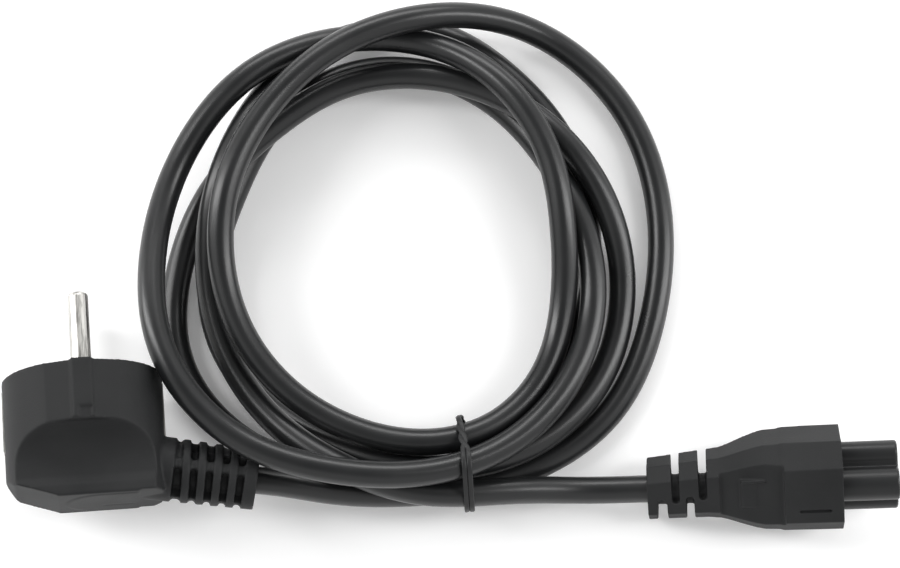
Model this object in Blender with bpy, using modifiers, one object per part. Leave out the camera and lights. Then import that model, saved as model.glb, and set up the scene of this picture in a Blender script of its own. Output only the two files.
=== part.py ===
"""Mains lead in a loose tied coil: an angled round plug, the cord, and a three-lobe appliance connector.

The lead lies on a level surface at Z = 0. +X runs from the plug to the connector, +Y towards the
far side of the coil. Metres throughout, apart from the cord's route, which is in millimetres.
"""

import math

import bmesh
import bpy
import numpy as np
from mathutils import Matrix, Vector

CLEARANCE = 0.0003            # left between pieces that touch

# Plug: local +Y is the way the pins point, +X the side the cord leaves, Y = 0 the front face
PLUG_AT = (-0.0892, 0.00735, 0.0194)
PLUG_TURN = (-7.5, 9.4, 4.7)  # degrees about X, Y, Z: nose a little down, cord side a little down
PLUG_RADIUS = 0.0190
PLUG_DEPTH = 0.0297
PLUG_BACK_RADIUS = 0.0187
PLUG_EDGE_ROUND = 0.0007
PLUG_SIDES = 56

GRIP_START = 0.0142           # the finger grips begin this far behind the face
GRIP_STEP_HEIGHT = 0.0173     # from the plug's middle
GRIP_BACK_HEIGHT = 0.0094
GRIP_LEDGE_HEIGHT = 0.0101
GRIP_LEDGE_DEPTH = 0.0275

CORNER_START_X = -0.0073      # the back's slanted corner, on the side away from the cord
CORNER_MID = (-0.0167, -0.0265)
CORNER_END_Y = -0.0236

GUIDE_WIDTH = 0.0048
GUIDE_LENGTH = 0.0138
GUIDE_PROUD = 0.0004

PIN_RADIUS = 0.0024
PIN_LENGTH = 0.0190
PIN_TIP_ROUND = 0.0010
PIN_SPACING = 0.0190
PIN_SEAT_DEPTH = 0.0080

EARTH_HOLE_RADIUS = 0.0025
EARTH_HOLE_OFFSET = 0.0100
EARTH_HOLE_DEPTH = 0.0150
EARTH_STRIP_WIDTH = 0.0042
EARTH_STRIP_THICKNESS = 0.0009
EARTH_STRIP_START = 0.0024
EARTH_STRIP_LENGTH = 0.0144

# Plug's strain relief, turned about its own axis, which leans back from the plug's +X
RELIEF_LEAN = -11.0
RELIEF_AXIS_DEPTH = 0.0194    # behind the face, where it crosses the plug's axis
RELIEF_NECK_RADIUS = 0.00765
RELIEF_END_RADIUS = 0.0072
RELIEF_CORE_RADIUS = 0.0046
RELIEF_BAR_SUNK = 0.0007      # below the rings
RELIEF_NECK_END = 0.0208
RELIEF_WINDOW = 0.00187
RELIEF_RING = 0.00187
RELIEF_WINDOWS = 5
RELIEF_COLLAR = 0.0030
RELIEF_BAR_WIDTH = 0.0022
RELIEF_ROLL = -3.0            # of its bars, about its axis
RELIEF_ROOT = 0.0080          # where it starts, inside the plug

# Connector: local +X is the way it plugs in, X = 0 its shoulder, +Z its narrow, chamfered side
CONNECTOR_AT = (0.09347, -0.01638, 0.01446)
CONNECTOR_TURN = (29.4, -7.8, 1.4)
SECTION_WIDTH = 0.0229
SECTION_BOTTOM = -0.0080
SECTION_TOP = 0.0081
SECTION_SIDE_TOP = 0.0022
SECTION_TOP_WIDTH = 0.0136
# distance behind the shoulder, share of the full section, sideways shift
CONNECTOR_STATIONS = (
    (0.0, 1.01, 0.0),
    (0.0140, 1.0, 0.0),
    (0.0150, 0.975, 0.0),
    (0.0190, 0.965, 0.0),
    (0.0293, 0.687, 0.0),
    (0.0322, 0.664, 0.0),
    (0.0466, 0.60, -0.0003),
)
CONNECTOR_EDGE_ROUND = 0.0005
CONNECTOR_CORE_RADIUS = 0.0036
CONNECTOR_CORE_LENGTH = 0.0160
# slots in the strain relief: start and end behind the shoulder, and whether they open to +Y
CONNECTOR_SLOTS = (
    (0.0322, 0.0342, True),
    (0.0354, 0.0373, False),
    (0.0388, 0.0407, True),
    (0.0419, 0.0443, False),
)
SLOT_SPLIT_Y = -0.0024        # the long slots reach down to here, the short ones up to here
CONNECTOR_AXIS_DRIFT = -0.0003

LOBE_OFFSET = 0.0055
LOBE_HEIGHT = -0.0031
LOBE_RADIUS = 0.0032
CHIN_HEIGHT = 0.0019
CHIN_RADIUS = 0.0040
NOSE_LENGTH = 0.0134
NOSE_SEAT_DEPTH = 0.0060
CONTACT_HOLE_RADIUS = 0.0016
CONTACT_HOLE_DEPTH = 0.0120
CONTACT_PITCH = 0.0050
SLEEVE_RADIUS = 0.0013
SLEEVE_BORE_RADIUS = 0.0009
SLEEVE_LENGTH = 0.0090
SLEEVE_RECESS = 0.0025

# Cord
CORD_RADIUS = 0.0033
CORD_POINTS = 150
MILLIMETRE = 0.001
# Where the cord starts at the plug's strain relief, and where it ends at the connector's, in millimetres
ROUTE_START = [(-46.9, -16.3, 16.35), (-39.2, -17.15, 15.3)]
ROUTE_END = [(16.2, -18.25, 10.6), (31.2, -17.95, 6.8), (46.95, -17.7, 8.1)]
# Between them it coils about this middle. For each step round it: how far out the cord is seen to
# lie, as if on the table, and its level in the heap, the highest on top
COIL_MIDDLE = (-13.4, 40.05)
COIL_START = 252              # degrees
COIL_STEP = 24
COIL_TURNS = [
    (60.0, 2.5), (57.5, 1.3), (61.0, 1.0), (65.0, 1.0), (65.0, 1.0), (67.0, 1.0), (69.5, 1.0), (69.5, 3.2),
    (64.5, 5.0), (58.5, 5.0), (52.5, 5.0), (48.5, 5.0), (45.0, 5.0), (43.5, 5.0), (43.0, 5.0), (43.5, 5.0),
    (46.0, 2.7), (48.0, 2.0), (46.0, 2.0), (42.0, 2.3), (42.5, 3.7), (47.0, 4.0), (53.0, 4.0), (58.0, 4.0),
    (60.5, 4.0), (62.5, 4.0), (62.0, 4.0), (62.5, 4.0), (63.5, 4.0), (60.0, 4.0), (55.0, 4.0), (53.5, 4.0),
    (53.5, 4.0), (52.0, 4.0), (49.5, 3.0), (47.0, 2.0), (46.5, 2.0), (48.0, 2.0), (50.0, 2.0), (50.5, 1.8),
    (49.0, 0.8), (48.5, 0.5), (50.0, 0.3), (50.0, 0.3), (49.0, 0.3), (50.0, 1.1), (52.0, 1.8), (56.0, 2.0),
    (58.5, 2.0), (57.0, 1.6), (54.5, 2.3), (52.0, 3.0), (50.0, 3.0), (49.0, 3.0), (48.5, 3.0), (48.0, 1.7),
    (51.5, 1.0), (55.0, 0.9), (60.5, 0.8), (59.0, 0.6), (56.0, 0.5), (51.0, 0.7), (51.0, 0.5), (49.5, 0.5),
    (47.5, 0.5), (48.0, 0.8), (51.5, 1.0), (55.5, 1.0), (61.0, 1.0), (60.5, 1.0), (54.0, 2.0), (50.0, 2.0),
    (48.5, 2.1), (49.0, 2.1), (50.5, 2.1), (53.5, 3.0), (58.5, 2.7),
]
# Degrees, on the same count, between which other turns hide the cord, so that it is only led loosely
HIDDEN = [(1222, 1370), (1586, 1617), (1652, 1800)]
# Where it lies over the plug and over the strain relief: from, to and the height that it keeps
OVER_PLUG = [(915, 936, 26.0), (944, 962, 24.6)]
OVER_TIE = (284, 296, 4.8)    # on every turn
# The eye that sees it so, in millimetres
EYE_FOOT = (-0.8, -57.55)
EYE_HEIGHT = 512.0
# How the cord comes to rest, in millimetres, with forces on one common scale
REST_SAMPLES = 640
REST_ROUNDS = 480
REST_APART = 7.05             # between the middles of two turns that touch
REST_FLOOR = 3.45
LEVEL_HEIGHT = 5.0            # where a level starts out
STIFFNESS = 350.0
TIGHT_BEND = 30.0             # radius at which the cord grows much stiffer
PULL = 2.4                    # towards where it is seen
PULL_HIDDEN = 0.1
PUSH = 60.0                   # of turn against turn, and of the floor
WEIGHT = 0.0225
INERTIA = 20.0
HELD = 10000.0                # at the cord's two ends

# Twist tie: a flat band round the six strands at the near side of the coil
TIE_AT = (0.0031, -0.01215, 0.0)
TIE_TURN = 4.5                # degrees about Z, of the way the strands run through it
TIE_HALF_WIDTH = 0.0009
TIE_EDGE_RADIUS = 0.00035
TIE_POINTS = 36
TIE_CLEARANCE = 0.00055


route = []                    # the cord's points at rest, worked out once


def new_collection(name):
    made = bpy.data.collections.new(name)
    bpy.context.scene.collection.children.link(made)
    return made


def material(name, colour, roughness, metallic=0.0):
    made = bpy.data.materials.new(name)
    made.use_nodes = True
    shader = made.node_tree.nodes["Principled BSDF"]
    shader.inputs["Base Color"].default_value = (*colour, 1.0)
    shader.inputs["Roughness"].default_value = roughness
    shader.inputs["Metallic"].default_value = metallic
    made.diffuse_color = (*colour, 1.0)
    return made


def add_object(name, data, collection, parent=None, surface=None):
    made = bpy.data.objects.new(name, data)
    collection.objects.link(made)
    made.parent = parent
    if surface:
        data.materials.append(surface)
    if collection.name == "cutters":
        made.hide_render = True
        made.display_type = "WIRE"
    return made


def mesh_object(name, shape, collection, parent=None, surface=None):
    """An object from a bmesh, which is freed."""
    bmesh.ops.recalc_face_normals(shape, faces=shape.faces)
    data = bpy.data.meshes.new(name)
    shape.to_mesh(data)
    shape.free()
    return add_object(name, data, collection, parent, surface)


def box(name, low, high, collection, parent=None):
    shape = bmesh.new()
    bmesh.ops.create_cube(shape, size=1.0)
    low, high = Vector(low), Vector(high)
    place = Matrix.Translation((low + high) / 2) @ Matrix.Diagonal((*(high - low), 1.0))
    bmesh.ops.transform(shape, matrix=place, verts=shape.verts)
    return mesh_object(name, shape, collection, parent)


def rod(name, start, end, radius, collection, parent=None, end_radius=None, sides=32, surface=None):
    """A closed cylinder or cone from start to end."""
    start, end = Vector(start), Vector(end)
    along = end - start
    shape = bmesh.new()
    bmesh.ops.create_cone(
        shape, cap_ends=True, segments=sides, radius1=radius,
        radius2=radius if end_radius is None else end_radius, depth=along.length,
    )
    turn = Vector((0, 0, 1)).rotation_difference(along).to_matrix().to_4x4()
    bmesh.ops.transform(
        shape, matrix=Matrix.Translation((start + end) / 2) @ turn, verts=shape.verts
    )
    return mesh_object(name, shape, collection, parent, surface)


def turned(name, profile, place, collection, parent=None, sides=32, surface=None):
    """A solid of revolution. The profile is (radius, height) pairs from the top down, about local Z."""
    shape = bmesh.new()
    corners = [shape.verts.new((radius, 0.0, height)) for radius, height in profile]
    for above, below in zip(corners, corners[1:]):
        shape.edges.new((above, below))
    data = bpy.data.meshes.new(name)
    shape.to_mesh(data)
    shape.free()
    made = add_object(name, data, collection, parent, surface)
    made.matrix_local = place
    screw = made.modifiers.new("Turn", "SCREW")
    screw.axis = "Z"
    screw.steps = sides
    screw.render_steps = sides
    screw.use_merge_vertices = True
    screw.merge_threshold = 0.00001
    screw.use_smooth_shade = False
    return made


def slab(name, outline, half_thickness, place, collection, parent=None, surface=None):
    """A flat outline in local XY, thickened along local Z both ways and made a mesh."""
    curve = bpy.data.curves.new(name, "CURVE")
    curve.dimensions = "2D"
    curve.fill_mode = "BOTH"
    curve.extrude = half_thickness
    line = curve.splines.new("POLY")
    line.points.add(len(outline) - 1)
    for point, (x, y) in zip(line.points, outline):
        point.co = (x, y, 0.0, 1.0)
    line.use_cyclic_u = True
    guide = bpy.data.objects.new(name + "_outline", curve)
    bpy.context.scene.collection.objects.link(guide)
    bpy.context.view_layer.update()
    data = bpy.data.meshes.new_from_object(guide.evaluated_get(bpy.context.evaluated_depsgraph_get()))
    bpy.data.objects.remove(guide)
    shape = bmesh.new()
    shape.from_mesh(data)
    bpy.data.meshes.remove(data)
    bmesh.ops.remove_doubles(shape, verts=shape.verts, dist=0.000001)
    bmesh.ops.transform(shape, matrix=place, verts=shape.verts)
    return mesh_object(name, shape, collection, parent, surface)


def boolean(target, tool, operation):
    change = target.modifiers.new(operation.title() + " " + tool.name, "BOOLEAN")
    change.operation = operation
    change.object = tool
    change.solver = "EXACT"


def frame(name, at, turn, collection):
    """An empty that carries the pieces of one end."""
    empty = bpy.data.objects.new(name, None)
    collection.objects.link(empty)
    empty.location = at
    empty.rotation_euler = [math.radians(angle) for angle in turn]
    return empty


def smooth(made):
    if made.type == "MESH":
        made.data.shade_smooth()
        made.data.set_sharp_from_angle(angle=math.radians(35))


def spline_weights(points, count):
    """For count places evenly along a smooth curve through the points: the points' weights in each
    place and in its bend, and which point it is at."""
    along = np.r_[0.0, np.cumsum(np.linalg.norm(np.diff(points, axis=0), axis=1))]
    gap = np.diff(along)
    size = len(points)
    system, right = np.eye(size), np.zeros((size, size))
    for i in range(1, size - 1):
        system[i, i - 1:i + 2] = gap[i - 1], 2 * (gap[i - 1] + gap[i]), gap[i]
        right[i, i - 1:i + 2] = 6 / gap[i - 1], -6 / gap[i - 1] - 6 / gap[i], 6 / gap[i]
    bend = np.linalg.solve(system, right)
    at = np.linspace(0.0, along[-1], count)
    piece = np.clip(np.searchsorted(along, at) - 1, 0, size - 2)
    low = ((along[piece + 1] - at) / gap[piece])[:, None]
    high = 1 - low
    straight = low * np.eye(size)[piece] + high * np.eye(size)[piece + 1]
    curved = (low**3 - low) * bend[piece] + (high**3 - high) * bend[piece + 1]
    place = straight + curved * gap[piece][:, None]**2 / 6
    return place, low * bend[piece] + high * bend[piece + 1], np.interp(at, along, np.arange(size))


def coil_as_seen():
    """The turns' angles, where they are seen on the table, and their levels."""
    turns = COIL_START + COIL_STEP * np.arange(len(COIL_TURNS))
    distance, level = np.array(COIL_TURNS).T
    way = np.c_[np.cos(np.radians(turns)), np.sin(np.radians(turns))]
    return turns, np.array(COIL_MIDDLE) + distance[:, None] * way, level


def lowest_allowed(turn, last):
    """The height that the cord's middle keeps at each turn angle."""
    floor = np.full(len(turn), REST_FLOOR)
    for start, end, height in OVER_PLUG:
        floor[(turn > start) & (turn < end)] = height
    start, end, height = OVER_TIE
    floor[(turn % 360 > start) & (turn % 360 < end) & (turn < last)] = height
    return floor


def route_at_rest():
    """The route's points once the cord has settled: it bends stiffly, can't pass through itself or
    the floor, and lies where it is seen."""
    turns, seen, level = coil_as_seen()
    start, end = np.array(ROUTE_START), np.array(ROUTE_END)
    points = np.r_[start, np.c_[seen, REST_FLOOR + LEVEL_HEIGHT * level], end]
    fixed = points.copy()
    coil = slice(len(start), len(start) + len(turns))
    held = np.full(len(points), HELD)
    held[coil] = 0.0
    pull = held.copy()
    pull[coil] = [PULL_HIDDEN if any(a < turn < b for a, b in HIDDEN) else PULL for turn in turns]

    place, bend, number = spline_weights(points, REST_SAMPLES)
    step = np.linalg.norm(np.diff(place @ points, axis=0), axis=1).mean()
    lead = [turns[0] - COIL_STEP / 2] * len(start), [turns[-1] + COIL_STEP] * len(end)
    turn = np.interp(number, range(len(points)), np.r_[lead[0], turns, lead[1]])
    level = np.interp(turn, turns, level)
    first, second = np.triu_indices(REST_SAMPLES, int(5 * REST_APART / step))
    apart = (place @ points)[first] - (place @ points)[second]
    near = np.hypot(apart[:, 0], apart[:, 1]) < 3 * REST_APART
    first, second = first[near], second[near]
    above = np.sign(level[first] - level[second])
    floor = lowest_allowed(turn, turns[-1])
    weight = WEIGHT * step * place.sum(axis=0)

    for _ in range(REST_ROUNDS):
        line = place @ points
        tight = np.linalg.norm(bend @ points, axis=1) * TIGHT_BEND
        stiff = STIFFNESS * step * (bend.T * np.minimum(1 + tight**6, 30)) @ bend
        apart = line[first] - line[second]
        gap = np.linalg.norm(apart, axis=1)
        swapped = (np.hypot(apart[:, 0], apart[:, 1]) < 4.5) & (apart[:, 2] * above < 0)
        touch = (gap < REST_APART) | swapped
        way = apart[touch] / gap[touch][:, None]
        way[swapped[touch]] = np.c_[np.zeros((swapped.sum(), 2)), above[swapped]]
        against = place[first[touch]] - place[second[touch]]
        stiff += PUSH * step * against.T @ against
        shove = PUSH * step * REST_APART * against.T @ way
        low = line[:, 2] < floor
        ground = PUSH * step * place[low].T
        sight = fixed[:, :2].copy()
        sight[coil] += (np.array(EYE_FOOT) - seen) * points[coil, 2:] / EYE_HEIGHT
        plan = np.linalg.solve(
            stiff + np.diag(pull + INERTIA),
            shove[:, :2] + pull[:, None] * sight + INERTIA * points[:, :2],
        )
        height = np.linalg.solve(
            stiff + ground @ place[low] + np.diag(held + INERTIA),
            shove[:, 2] + ground @ floor[low] - weight + held * fixed[:, 2] + INERTIA * points[:, 2],
        )
        points = np.c_[plan, height]
    return points


def cord_line(count):
    """The cord's centreline, in metres."""
    if not route:
        route.extend(route_at_rest())
    place, _, _ = spline_weights(np.array(route), count)
    return place @ np.array(route) * MILLIMETRE


def tube(name, points, radius, cyclic, collection, surface, half_width=0.0, resolution=2):
    """A round tube, or a flat band with rounded edges where half_width is given."""
    curve = bpy.data.curves.new(name, "CURVE")
    curve.dimensions = "3D"
    curve.bevel_depth = radius
    curve.bevel_resolution = resolution
    curve.extrude = half_width
    curve.use_fill_caps = not cyclic
    line = curve.splines.new("POLY")
    line.points.add(len(points) - 1)
    for point, place in zip(line.points, points):
        point.co = (*place, 1.0)
    line.use_cyclic_u = cyclic
    line.use_smooth = True
    return add_object(name, curve, collection, None, surface)


def strands_through_tie():
    """Where the cord runs through the tie: (across, up) in the tie's own plane, and its reach there."""
    turn = math.radians(TIE_TURN)
    way = np.array([math.cos(turn), math.sin(turn), 0.0])
    across = np.array([-math.sin(turn), math.cos(turn), 0.0])
    offset = cord_line(1500) - np.array(TIE_AT)
    beyond = np.abs(offset @ way) - TIE_HALF_WIDTH - TIE_EDGE_RADIUS
    beside = offset @ across
    clear = CORD_RADIUS + TIE_CLEARANCE
    near = (beyond < clear) & (np.abs(beside) < 0.03)
    reach = np.sqrt(clear**2 - np.maximum(beyond[near], 0.0)**2)
    return np.c_[beside[near], offset[near][:, 2]], reach


def tie_outline():
    """A loop drawn tight round the strands, as points evenly round it."""
    centres, around = strands_through_tie()
    turns = np.radians(np.arange(0, 360, 3))
    ways = np.c_[np.cos(turns), np.sin(turns)]
    reach = (centres @ ways.T + around[:, None]).max(axis=0) + TIE_EDGE_RADIUS
    corners = []
    for i in range(len(turns)):
        j = (i + 1) % len(turns)
        corners.append(np.linalg.solve(ways[[i, j]], reach[[i, j]]))
    corners = np.array(corners + corners[:1])
    along = np.r_[0.0, np.cumsum(np.linalg.norm(np.diff(corners, axis=0), axis=1))]
    at = np.linspace(0.0, along[-1], TIE_POINTS, endpoint=False)
    return [(np.interp(d, along, corners[:, 0]), np.interp(d, along, corners[:, 1]), 0.0) for d in at]


def twist_tie(parts, surface):
    """Its loop lies in the object's own XY plane, stood up across the strands."""
    tie = tube("twist_tie", tie_outline(), TIE_EDGE_RADIUS, True, parts, surface, TIE_HALF_WIDTH)
    tie.location = TIE_AT
    tie.rotation_euler = (math.radians(90), 0.0, math.radians(90 + TIE_TURN))


def plug_body(parts, cutters, holder, surface):
    shape = bmesh.new()
    bmesh.ops.create_cone(
        shape, cap_ends=True, segments=PLUG_SIDES, radius1=PLUG_BACK_RADIUS,
        radius2=PLUG_RADIUS, depth=PLUG_DEPTH,
    )
    stand = Matrix.Translation((0, -PLUG_DEPTH / 2, 0)) @ Matrix.Rotation(math.radians(-90), 4, "X")
    bmesh.ops.transform(shape, matrix=stand, verts=shape.verts)
    front_edge = [edge for edge in shape.edges if all(abs(v.co.y) < 1e-6 for v in edge.verts)]
    bmesh.ops.bevel(
        shape, geom=front_edge, offset=PLUG_EDGE_ROUND, segments=2, profile=0.5, affect="EDGES"
    )
    body = mesh_object("plug_body", shape, parts, holder, surface)

    for side in (1, -1):
        boolean(body, guide_rib(side, cutters, holder), "UNION")
    for side in (1, -1):
        boolean(body, grip_cutter(side, cutters, holder), "DIFFERENCE")
    boolean(body, corner_cutter(cutters, holder), "DIFFERENCE")
    boolean(body, relief_turned(cutters, holder), "UNION")
    for bar in relief_bars(cutters, holder):
        boolean(body, bar, "UNION")
    for side in (1, -1):
        boolean(body, pin_socket(side, cutters, holder), "DIFFERENCE")
        boolean(body, earth_recess(side, cutters, holder), "DIFFERENCE")
    earth_hole = rod(
        "earth_hole", (-EARTH_HOLE_OFFSET, 0.002, 0), (-EARTH_HOLE_OFFSET, -EARTH_HOLE_DEPTH, 0),
        EARTH_HOLE_RADIUS, cutters, holder, sides=20,
    )
    boolean(body, earth_hole, "DIFFERENCE")
    smooth(body)
    return body


def guide_rib(side, cutters, holder):
    top = PLUG_RADIUS + GUIDE_PROUD
    low, high = sorted((side * (top - 0.004), side * top))
    return box(
        f"guide_rib_{side}", (-GUIDE_WIDTH / 2, -GUIDE_LENGTH, low),
        (GUIDE_WIDTH / 2, -0.0003, high), cutters, holder,
    )


def grip_cutter(side, cutters, holder):
    """The scoop above or below the grip: a step, a hollow that runs back, and a ledge."""
    reach = PLUG_RADIUS + 0.004
    behind = -PLUG_DEPTH - 0.006
    fall = GRIP_STEP_HEIGHT - GRIP_BACK_HEIGHT
    outline = [(-GRIP_START, reach), (-GRIP_START, GRIP_STEP_HEIGHT)]
    hollow = GRIP_LEDGE_DEPTH - GRIP_START - 0.002
    for step in range(1, 9):
        share = step / 8
        drop = 1 - (1 - share) ** 2.6
        outline.append((-GRIP_START - hollow * share, GRIP_STEP_HEIGHT - fall * drop))
    outline += [(-GRIP_LEDGE_DEPTH, GRIP_LEDGE_HEIGHT), (behind, GRIP_LEDGE_HEIGHT), (behind, reach)]
    outline = [(along, side * height) for along, height in outline]
    # local X of the outline runs along the plug's Y, local Y along its Z
    place = Matrix(((0, 0, 1, 0), (1, 0, 0, 0), (0, 1, 0, 0), (0, 0, 0, 1)))
    return slab(f"grip_{side}", outline, PLUG_RADIUS + 0.002, place, cutters, holder)


def corner_cutter(cutters, holder):
    outside = -PLUG_RADIUS - 0.006
    behind = -PLUG_DEPTH - 0.006
    outline = [
        (outside, CORNER_END_Y), (-PLUG_BACK_RADIUS - 0.0006, CORNER_END_Y), CORNER_MID,
        (CORNER_START_X, -PLUG_DEPTH), (CORNER_START_X, behind), (outside, behind),
    ]
    return slab("back_corner", outline, PLUG_RADIUS, Matrix.Identity(4), cutters, holder)


def relief_place():
    """Turns local +Z to the strain relief's axis."""
    lean = Matrix.Rotation(math.radians(RELIEF_LEAN), 4, "Z")
    return Matrix.Translation((0, -RELIEF_AXIS_DEPTH, 0)) @ lean @ Matrix.Rotation(math.radians(90), 4, "Y")


def relief_length():
    rings = RELIEF_WINDOWS * RELIEF_WINDOW + (RELIEF_WINDOWS - 1) * RELIEF_RING
    return RELIEF_NECK_END + rings + RELIEF_COLLAR


def relief_radius(along):
    share = (along - RELIEF_NECK_END) / (relief_length() - RELIEF_NECK_END)
    return RELIEF_NECK_RADIUS + (RELIEF_END_RADIUS - RELIEF_NECK_RADIUS) * max(0.0, share)


def relief_turned(cutters, holder):
    """Neck, rings and end collar, with the core showing between them."""
    profile = [(0.0, RELIEF_ROOT), (RELIEF_NECK_RADIUS, RELIEF_ROOT)]
    along = RELIEF_NECK_END
    profile.append((RELIEF_NECK_RADIUS, along))
    for number in range(RELIEF_WINDOWS):
        profile += [(RELIEF_CORE_RADIUS, along), (RELIEF_CORE_RADIUS, along + RELIEF_WINDOW)]
        along += RELIEF_WINDOW
        width = RELIEF_COLLAR if number == RELIEF_WINDOWS - 1 else RELIEF_RING
        for at in (along, along + width):
            profile.append((relief_radius(at), at))
        along += width
    profile.append((0.0, along))
    profile.reverse()
    return turned("relief_rings", profile, relief_place(), cutters, holder, sides=36)


def relief_bars(cutters, holder):
    """Four bars along the relief, as two crossed tapering plates."""
    start, end = RELIEF_NECK_END - 0.001, relief_length() - 0.001
    bars = []
    for number, turn in enumerate((RELIEF_ROLL, RELIEF_ROLL + 90)):
        wide, narrow = relief_radius(start) - RELIEF_BAR_SUNK, relief_radius(end) - RELIEF_BAR_SUNK
        outline = [(wide, start), (narrow, end), (-narrow, end), (-wide, start)]
        # outline Y runs along the relief's own Z
        stand = Matrix.Rotation(math.radians(turn), 4, "Z") @ Matrix.Rotation(math.radians(90), 4, "X")
        place = relief_place() @ stand
        bars.append(slab(f"relief_bar_{number}", outline, RELIEF_BAR_WIDTH / 2, place, cutters, holder))
    return bars


def pin_socket(side, cutters, holder):
    height = side * PIN_SPACING / 2
    return rod(
        f"pin_socket_{side}", (0, 0.002, height), (0, -PIN_SEAT_DEPTH - CLEARANCE, height),
        PIN_RADIUS + CLEARANCE, cutters, holder, sides=24,
    )


def plug_pin(name, side, parts, holder, surface):
    straight = PIN_LENGTH - PIN_TIP_ROUND
    profile = [(0.0, PIN_LENGTH)]
    for step in range(5):
        turn = math.radians(90 * step / 4)
        profile.append((
            PIN_RADIUS - PIN_TIP_ROUND * (1 - math.sin(turn)),
            straight + PIN_TIP_ROUND * math.cos(turn),
        ))
    profile += [(PIN_RADIUS, -PIN_SEAT_DEPTH), (0.0, -PIN_SEAT_DEPTH)]
    place = Matrix.Translation((0, 0, side * PIN_SPACING / 2)) @ Matrix.Rotation(math.radians(-90), 4, "X")
    return turned(name, profile, place, parts, holder, sides=24, surface=surface)


def earth_recess(side, cutters, holder):
    half = EARTH_STRIP_WIDTH / 2 + CLEARANCE
    depth = EARTH_STRIP_THICKNESS + CLEARANCE
    near, far = sorted((side * (PLUG_RADIUS - depth), side * (PLUG_RADIUS + 0.002)))
    return box(
        f"earth_recess_{side}", (near, -EARTH_STRIP_START - EARTH_STRIP_LENGTH - CLEARANCE, -half),
        (far, -EARTH_STRIP_START + CLEARANCE, half), cutters, holder,
    )


def earth_contact(name, side, parts, holder, surface):
    """A flat spring strip that lies in its recess."""
    half = EARTH_STRIP_WIDTH / 2
    near, far = sorted((side * (PLUG_RADIUS - EARTH_STRIP_THICKNESS), side * PLUG_RADIUS))
    made = box(
        name, (near, -EARTH_STRIP_START - EARTH_STRIP_LENGTH, -half),
        (far, -EARTH_STRIP_START, half), parts, holder,
    )
    made.data.materials.append(surface)
    return made


def section_outline(share):
    half, top_half = SECTION_WIDTH / 2, SECTION_TOP_WIDTH / 2
    corners = [
        (-half, SECTION_BOTTOM), (half, SECTION_BOTTOM), (half, SECTION_SIDE_TOP),
        (top_half, SECTION_TOP), (-top_half, SECTION_TOP), (-half, SECTION_SIDE_TOP),
    ]
    return [(y * share, z * share) for y, z in corners]


def connector_hull():
    """The connector's outer shape, lofted through its stations."""
    shape = bmesh.new()
    loops = []
    for behind, share, shift in CONNECTOR_STATIONS:
        loops.append([
            shape.verts.new((-behind, y + shift, z)) for y, z in section_outline(share)
        ])
    count = len(loops[0])
    for near, far in zip(loops, loops[1:]):
        for i in range(count):
            j = (i + 1) % count
            shape.faces.new((near[i], near[j], far[j], far[i]))
    shape.faces.new(loops[0])
    shape.faces.new(loops[-1])
    return shape


def connector_body(parts, cutters, holder, surface):
    body = mesh_object("connector_body", connector_hull(), parts, holder, surface)
    edges = body.modifiers.new("Round edges", "BEVEL")
    edges.width = CONNECTOR_EDGE_ROUND
    edges.segments = 2
    edges.limit_method = "ANGLE"
    edges.angle_limit = math.radians(28)
    for number, (start, end, from_top) in enumerate(CONNECTOR_SLOTS):
        reach = SECTION_WIDTH
        low_y, high_y = (SLOT_SPLIT_Y, reach) if from_top else (-reach, SLOT_SPLIT_Y)
        slot = box(
            f"relief_slot_{number}", (-end, low_y, -reach), (-start, high_y, reach), cutters, holder
        )
        boolean(body, slot, "DIFFERENCE")
    last = CONNECTOR_STATIONS[-1][0]
    core = rod(
        "relief_core", (-last + CONNECTOR_CORE_LENGTH, 0, 0), (-last, CONNECTOR_AXIS_DRIFT, 0),
        CONNECTOR_CORE_RADIUS, cutters, holder, sides=24,
    )
    boolean(body, core, "UNION")
    seat = slab(
        "nose_seat", nose_outline(CLEARANCE), NOSE_SEAT_DEPTH + CLEARANCE, nose_place(0.0), cutters, holder
    )
    boolean(body, seat, "DIFFERENCE")
    smooth(body)
    return body


def nose_place(behind):
    """Outline X along the connector's Y, outline Y along its Z, thickness along its X."""
    return Matrix(((0, 0, 1, behind), (1, 0, 0, 0), (0, 1, 0, 0), (0, 0, 0, 1)))


def arc(centre, radius, start, end, steps):
    turns = [math.radians(start + (end - start) * i / steps) for i in range(steps + 1)]
    return [(centre[0] + radius * math.cos(t), centre[1] + radius * math.sin(t)) for t in turns]


def nose_outline(grow):
    """Two lobes at the flat side and a larger one above them, run anticlockwise."""
    lobe, chin = LOBE_RADIUS + grow, CHIN_RADIUS + grow
    right = arc((LOBE_OFFSET, LOBE_HEIGHT), lobe, -90, 100, 12)
    top = arc((0.0, CHIN_HEIGHT), chin, -20, 200, 16)
    left = arc((-LOBE_OFFSET, LOBE_HEIGHT), lobe, 80, 270, 12)
    return right + top + left


def contact_places():
    return {
        "line": (CONTACT_PITCH, LOBE_HEIGHT),
        "neutral": (-CONTACT_PITCH, LOBE_HEIGHT),
        "earth": (0.0, CHIN_HEIGHT),
    }


def connector_nose(parts, cutters, holder, surface):
    length = NOSE_LENGTH + NOSE_SEAT_DEPTH
    nose = slab(
        "connector_nose", nose_outline(0.0), length / 2,
        nose_place(length / 2 - NOSE_SEAT_DEPTH), parts, holder, surface,
    )
    for label, (y, z) in contact_places().items():
        hole = rod(
            f"contact_hole_{label}", (NOSE_LENGTH + 0.002, y, z),
            (NOSE_LENGTH - CONTACT_HOLE_DEPTH, y, z), CONTACT_HOLE_RADIUS, cutters, holder, sides=16,
        )
        boolean(nose, hole, "DIFFERENCE")
    smooth(nose)
    return nose


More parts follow.
